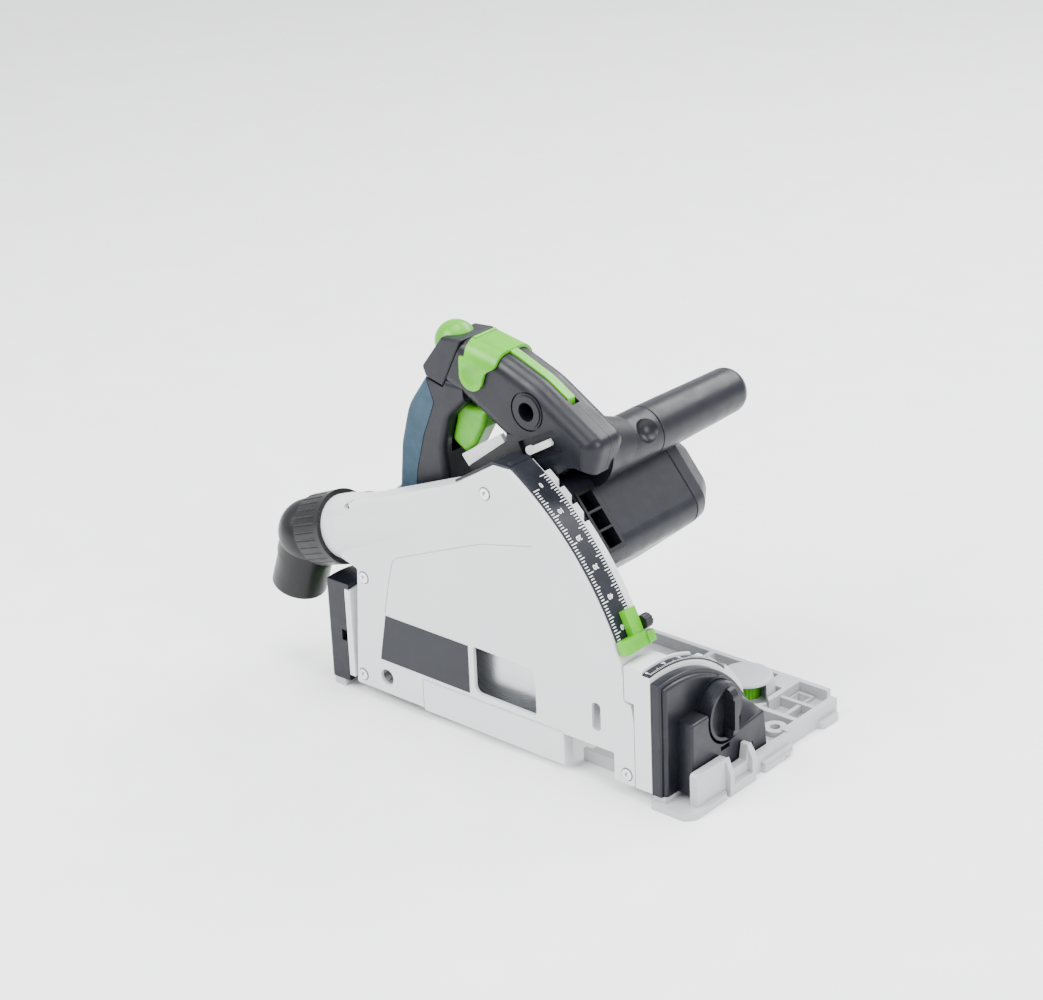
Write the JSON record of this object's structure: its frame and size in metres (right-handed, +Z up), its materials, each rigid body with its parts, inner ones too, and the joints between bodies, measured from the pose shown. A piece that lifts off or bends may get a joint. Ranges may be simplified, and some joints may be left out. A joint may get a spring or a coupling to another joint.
{
  "type": "track plunge saw",
  "caption": "Plunge-cut circular saw: blade, gearbox and motor swing down about a hinge pin inside a tilting guard on a grooved guide-rail base.",
  "frame": {"origin": "centre of the sole's rectangle, on the sole plane", "axes": "+X forward along the cut, +Y away from the blade towards the motor, +Z up from the sole"},
  "size_m": [0.3708, 0.2085, 0.2654],
  "materials": {
    "cast_base": "bead-blasted magnesium casting",
    "slick_strip": "slick plastic",
    "light_casting": "fine satin casting",
    "dark_plastic": "fine texture",
    "blue_grey_plastic": "fine spark texture",
    "soft_grip": "soft touch",
    "green_plastic": "semi-gloss",
    "grey_label": "printed film",
    "scale_print": "satin strip with light marks",
    "steel": "ground",
    "dark_steel": "blackened",
    "spring_steel": "drawn wire",
    "blade_steel": "ground plate",
    "copper": "copper",
    "laminated_iron": "stacked sheet",
    "potting": "potted board",
    "brass_holder": "pressed",
    "white_plastic": "satin"
  },
  "bodies": {
    "base": {"base_plate": "cast_base", "glide_strips": "slick_strip", "front_quadrant": "blue_grey_plastic", "rear_quadrant": "blue_grey_plastic"},
    "front_jaw": {"front_guide_jaw": "green_plastic"},
    "rear_jaw": {"rear_guide_jaw": "green_plastic"},
    "front_knob": {"front_bevel_knob": "blue_grey_plastic"},
    "rear_knob": {"rear_bevel_knob": "green_plastic"},
    "tilting_guard": {"outer_cover": "light_casting", "inner_guard": "light_casting", "cover_foot_bar": "light_casting", "front_swivel_bracket": "light_casting", "rear_swivel_bracket": "light_casting", "angle_scale_plate": "scale_print", "cover_screws": "steel", "name_plate": "grey_label", "depth_scale_strip": "scale_print", "plunge_pivot_pin": "steel", "return_spring": "spring_steel"},
    "depth_stop": {"depth_stop_slider": "green_plastic"},
    "fine_adjuster": {"depth_stop_adjuster": "dark_plastic"},
    "dust_port": {"dust_collar": "dark_plastic", "dust_elbow": "dark_plastic"},
    "plunge_unit": {"gear_housing": "blue_grey_plastic", "gear_case_cover": "light_casting", "vent_frame": "dark_plastic", "motor_housing": "blue_grey_plastic", "motor_end_cap": "blue_grey_plastic", "field_core": "laminated_iron", "brush_holders": "brass_holder", "motor_bearings": "steel", "gear_bearings": "steel", "handle_shell_left": "blue_grey_plastic", "handle_shell_right": "blue_grey_plastic", "handle_rear_cap": "blue_grey_plastic", "grip_pad": "soft_grip", "front_handle": "blue_grey_plastic", "switch_unit": "dark_plastic", "electronics_module": "potting", "power_inlet": "dark_plastic", "guard_link_arm": "dark_plastic", "gear_case_tab": "white_plastic", "housing_screws": "dark_steel"},
    "spindle": {"arbor": "steel", "arbor_gear": "dark_steel", "inner_flange": "steel", "outer_flange": "steel", "blade_bolt": "steel", "saw_blade": "blade_steel"},
    "idler": {"idler_shaft": "dark_steel"},
    "rotor": {"armature": "laminated_iron", "commutator": "copper", "cooling_fan": "dark_plastic"},
    "knife": {"riving_knife": "spring_steel"},
    "trigger": {"trigger": "green_plastic"},
    "lock_button": {"plunge_lock": "green_plastic"},
    "blade_change_lever": {"mode_lever": "green_plastic"},
    "stop_lever": {"spindle_stop_lever": "white_plastic"},
    "dial": {"speed_dial": "green_plastic"}
  },
  "joints": [
    {"name": "front_jaw_turn", "type": "hinge", "parent": "base", "child": "front_jaw", "pos_m": [0.083, 0.055, 0.01], "axis": [0, 0, 1], "range_deg": [0, 90]},
    {"name": "rear_jaw_turn", "type": "hinge", "parent": "base", "child": "rear_jaw", "pos_m": [-0.084, 0.055, 0.01], "axis": [0, 0, 1], "range_deg": [0, 90]},
    {"name": "front_knob_turn", "type": "hinge", "parent": "base", "child": "front_knob", "pos_m": [0.125, -0.038, 0.051], "axis": [1, 0, 0], "range_deg": [0, 180]},
    {"name": "rear_knob_turn", "type": "hinge", "parent": "base", "child": "rear_knob", "pos_m": [-0.161, -0.062, 0.046], "axis": [1, 0, 0], "range_deg": [0, 180]},
    {"name": "bevel_tilt", "type": "hinge", "parent": "base", "child": "tilting_guard", "pos_m": [-0.026, -0.076, 0], "axis": [1, 0, 0], "range_deg": [-1, 47]},
    {"name": "depth_set", "type": "hinge", "parent": "tilting_guard", "child": "depth_stop", "pos_m": [-0.107, -0.076, 0.02], "axis": [0, 1, 0], "range_deg": [-29, 0]},
    {"name": "fine_adjust", "type": "hinge", "parent": "depth_stop", "child": "fine_adjuster", "pos_m": [0.09317, -0.061, 0.1108], "axis": [0, 1, 0], "range_deg": [0, 90]},
    {"name": "dust_port_swivel", "type": "hinge", "parent": "tilting_guard", "child": "dust_port", "pos_m": [-0.158, -0.07, 0.11], "axis": [-0.9397, 0, -0.342], "continuous": true},
    {"name": "plunge", "type": "hinge", "parent": "tilting_guard", "child": "plunge_unit", "pos_m": [-0.107, -0.054, 0.02], "axis": [0, 1, 0], "range_deg": [0, 31], "stiffness_Nm_per_rad": 10, "springref_deg": -34.38, "deforming": ["return_spring"]},
    {"name": "spindle_spin", "type": "hinge", "parent": "plunge_unit", "child": "spindle", "pos_m": [-0.01144, -0.064, 0.08397], "axis": [0, 1, 0], "continuous": true},
    {"name": "idler_spin", "type": "hinge", "parent": "plunge_unit", "child": "idler", "pos_m": [-0.00812, -0.046, 0.11379], "axis": [0, 1, 0], "continuous": true},
    {"name": "rotor_spin", "type": "hinge", "parent": "plunge_unit", "child": "rotor", "pos_m": [0.00856, 0, 0.13628], "axis": [0, 1, 0], "continuous": true},
    {"name": "knife_swing", "type": "hinge", "parent": "plunge_unit", "child": "knife", "pos_m": [-0.01144, -0.069, 0.08397], "axis": [0, -1, 0], "range_deg": [0, 20], "stiffness_Nm_per_rad": 0.4, "springref_deg": -17.19},
    {"name": "trigger_pull", "type": "slide", "parent": "plunge_unit", "child": "trigger", "axis": [-1, 0, 0], "range_m": [0, 0.006], "stiffness_N_per_m": 800, "springref_m": -0.003},
    {"name": "lock_press", "type": "slide", "parent": "plunge_unit", "child": "lock_button", "axis": [0.7507, 0, -0.6607], "range_m": [0, 0.003], "stiffness_N_per_m": 900, "springref_m": -0.002},
    {"name": "lever_lift", "type": "hinge", "parent": "plunge_unit", "child": "blade_change_lever", "pos_m": [-0.0477, -0.04075, 0.2613], "axis": [0, -1, 0], "range_deg": [0, 12]},
    {"name": "stop_lever_push", "type": "hinge", "parent": "plunge_unit", "child": "stop_lever", "pos_m": [0.0005, -0.057, 0.1995], "axis": [0, 1, 0], "range_deg": [-6, 0]},
    {"name": "speed_dial_turn", "type": "hinge", "parent": "plunge_unit", "child": "dial", "pos_m": [-0.01039, 0.063, 0.11836], "axis": [0, 1, 0], "range_deg": [0, 270]}
  ],
  "couplings": [
    {"joint": "idler_spin", "follows": "spindle_spin", "ratio": -2},
    {"joint": "rotor_spin", "follows": "spindle_spin", "ratio": 7.3333}
  ]
}
